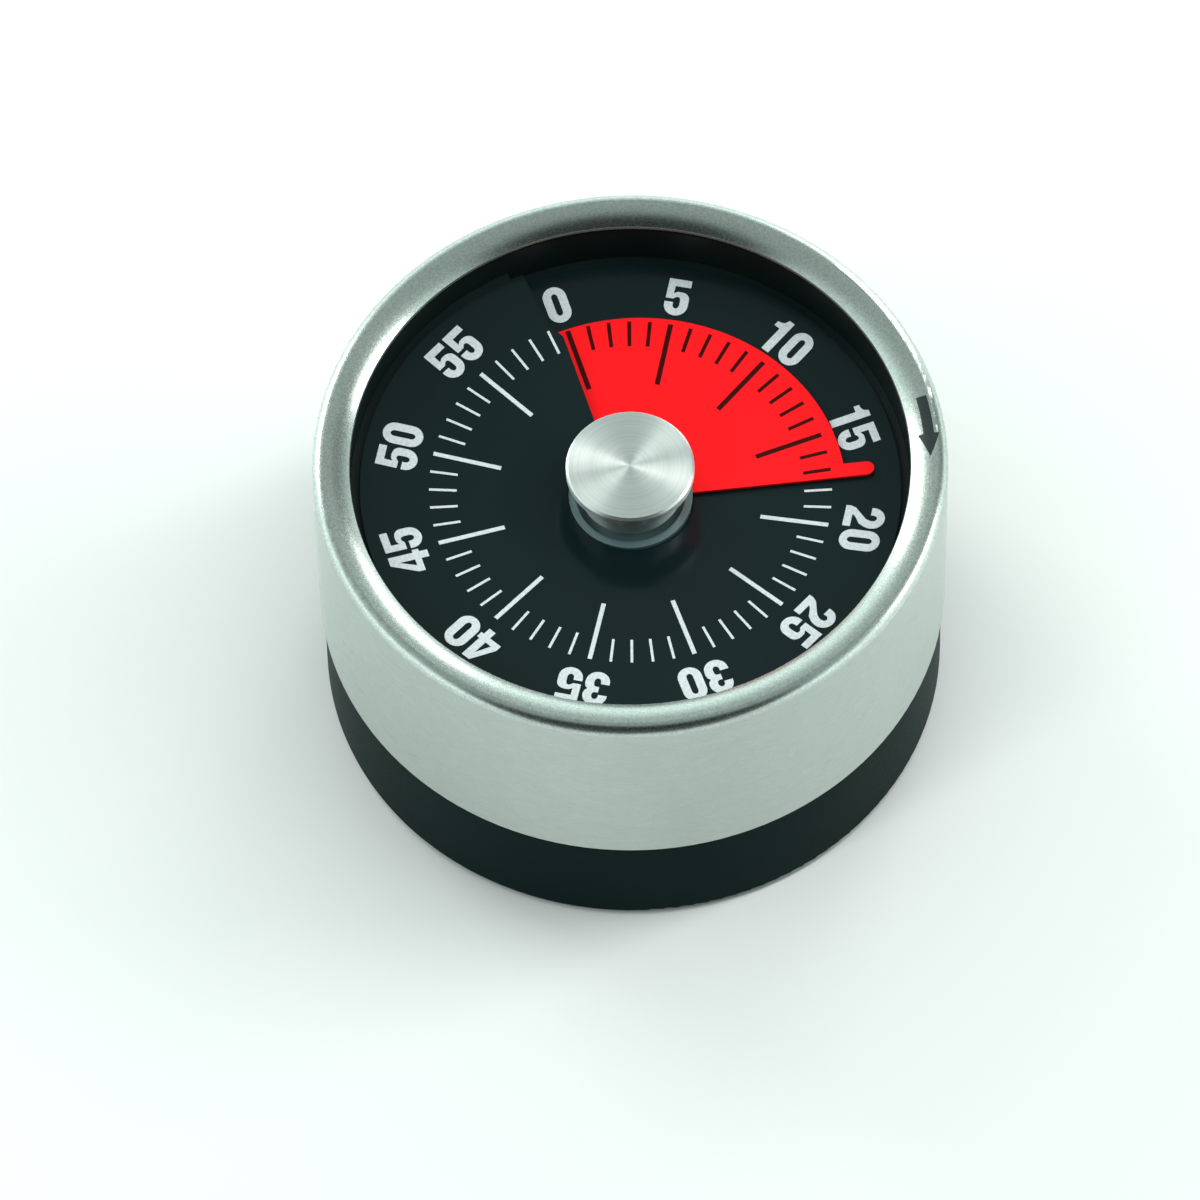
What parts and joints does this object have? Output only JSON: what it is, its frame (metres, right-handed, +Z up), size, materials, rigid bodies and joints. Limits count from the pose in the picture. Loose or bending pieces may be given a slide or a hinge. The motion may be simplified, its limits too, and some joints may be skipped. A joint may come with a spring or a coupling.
{
  "type": "kitchen timer",
  "caption": "Round wind-up kitchen timer: brushed steel case on a black base, black minute dial with a rising red disc, centre knob, clockwork and bell inside.",
  "frame": {"origin": "centre of the foot ring's underside, on the case's axis", "axes": "+Z up along the case's axis, +Y away from the user; the dial's 0 mark is 17.1 degrees to the left of +Y"},
  "size_m": [0.078, 0.078, 0.0455],
  "materials": {
    "shell_steel": "brushed side, satin rim",
    "base_black": "satin moulded",
    "wall_black": "satin moulded",
    "foot_rubber": "matt",
    "magnet": "plated",
    "screw_steel": "plain",
    "dial_black": "glossy printed film",
    "dial_red": "glossy printed film",
    "hub_grey": "dark translucent",
    "knob_metal": "turned, fine rings",
    "plate_brass": "stamped",
    "wheel_brass": "cut",
    "wheel_plastic": "moulded",
    "arbor_steel": "turned",
    "spring_steel": "blued",
    "bell_steel": "nickel plated"
  },
  "bodies": {
    "case": {"steel_shell": "shell_steel", "base_housing": "base_black", "foot_ring": "foot_rubber", "base_screws": "screw_steel", "back_magnets": "magnet", "dial_surround": "wall_black", "dial_seat": "wall_black", "dial": "dial_black", "front_plate": "plate_brass", "back_plate": "plate_brass", "plate_pillars": "arbor_steel", "pillar_nuts": "screw_steel", "plate_screws": "screw_steel", "spring_post": "arbor_steel", "mainspring": "spring_steel", "bell": "bell_steel", "bell_post": "arbor_steel", "bell_screw": "screw_steel"},
    "winder": {"main_arbor": "arbor_steel", "knob": "knob_metal", "ratchet_wheel": "arbor_steel", "strike_cam": "wheel_brass"},
    "pointer": {"red_disc": "dial_red", "disc_hub": "hub_grey"},
    "first_wheel": {"great_wheel": "wheel_brass", "click_rivet": "arbor_steel", "click": "arbor_steel", "click_spring": "spring_steel"},
    "second_wheel_set": {"second_arbor": "arbor_steel", "second_pinion": "arbor_steel", "second_wheel": "wheel_brass"},
    "third_wheel_set": {"third_arbor": "arbor_steel", "third_pinion": "wheel_plastic", "third_wheel": "wheel_plastic"},
    "escape_wheel_set": {"escape_arbor": "arbor_steel", "escape_pinion": "wheel_plastic", "escape_wheel": "wheel_plastic"},
    "verge": {"verge_staff": "arbor_steel", "pallet_fork": "arbor_steel", "balance_bar": "wheel_brass"},
    "hammer": {"hammer_staff": "arbor_steel", "hammer_tail": "arbor_steel", "hammer_head": "arbor_steel"}
  },
  "joints": [
    {"name": "knob_turn", "type": "hinge", "parent": "case", "child": "winder", "pos_m": [0, 0, 0.035], "axis": [0, 0, -1], "range_deg": [-102.3, 255]},
    {"name": "pointer_rise", "type": "slide", "parent": "winder", "child": "pointer", "axis": [0, 0, 1], "range_m": [-0.00059, 0.00148]},
    {"name": "first_wheel_turn", "type": "hinge", "parent": "case", "child": "first_wheel", "pos_m": [0, 0, 0.0277], "axis": [0, 0, -1], "continuous": true},
    {"name": "second_wheel_turn", "type": "hinge", "parent": "case", "child": "second_wheel_set", "pos_m": [-0.01556, -0.00898, 0.025], "axis": [0, 0, -1], "continuous": true},
    {"name": "third_wheel_turn", "type": "hinge", "parent": "case", "child": "third_wheel_set", "pos_m": [-0.00723, -0.01891, 0.022], "axis": [0, 0, -1], "continuous": true},
    {"name": "escape_wheel_turn", "type": "hinge", "parent": "case", "child": "escape_wheel_set", "pos_m": [0.00267, -0.01752, 0.022], "axis": [0, 0, -1], "continuous": true},
    {"name": "verge_swing", "type": "hinge", "parent": "case", "child": "verge", "pos_m": [0.01152, -0.01596, 0.022], "axis": [0, 0, 1], "range_deg": [-8, 8]},
    {"name": "hammer_swing", "type": "hinge", "parent": "case", "child": "hammer", "pos_m": [0.015, 0.0093, 0.015], "axis": [0, 0, -1], "range_deg": [0, 8]}
  ],
  "couplings": [
    {"joint": "pointer_rise", "follows": "knob_turn", "m_per_rad": 0.00033263},
    {"joint": "first_wheel_turn", "follows": "knob_turn", "ratio": 1},
    {"joint": "second_wheel_turn", "follows": "knob_turn", "ratio": -6},
    {"joint": "third_wheel_turn", "follows": "knob_turn", "ratio": 30},
    {"joint": "escape_wheel_turn", "follows": "knob_turn", "ratio": -120}
  ]
}
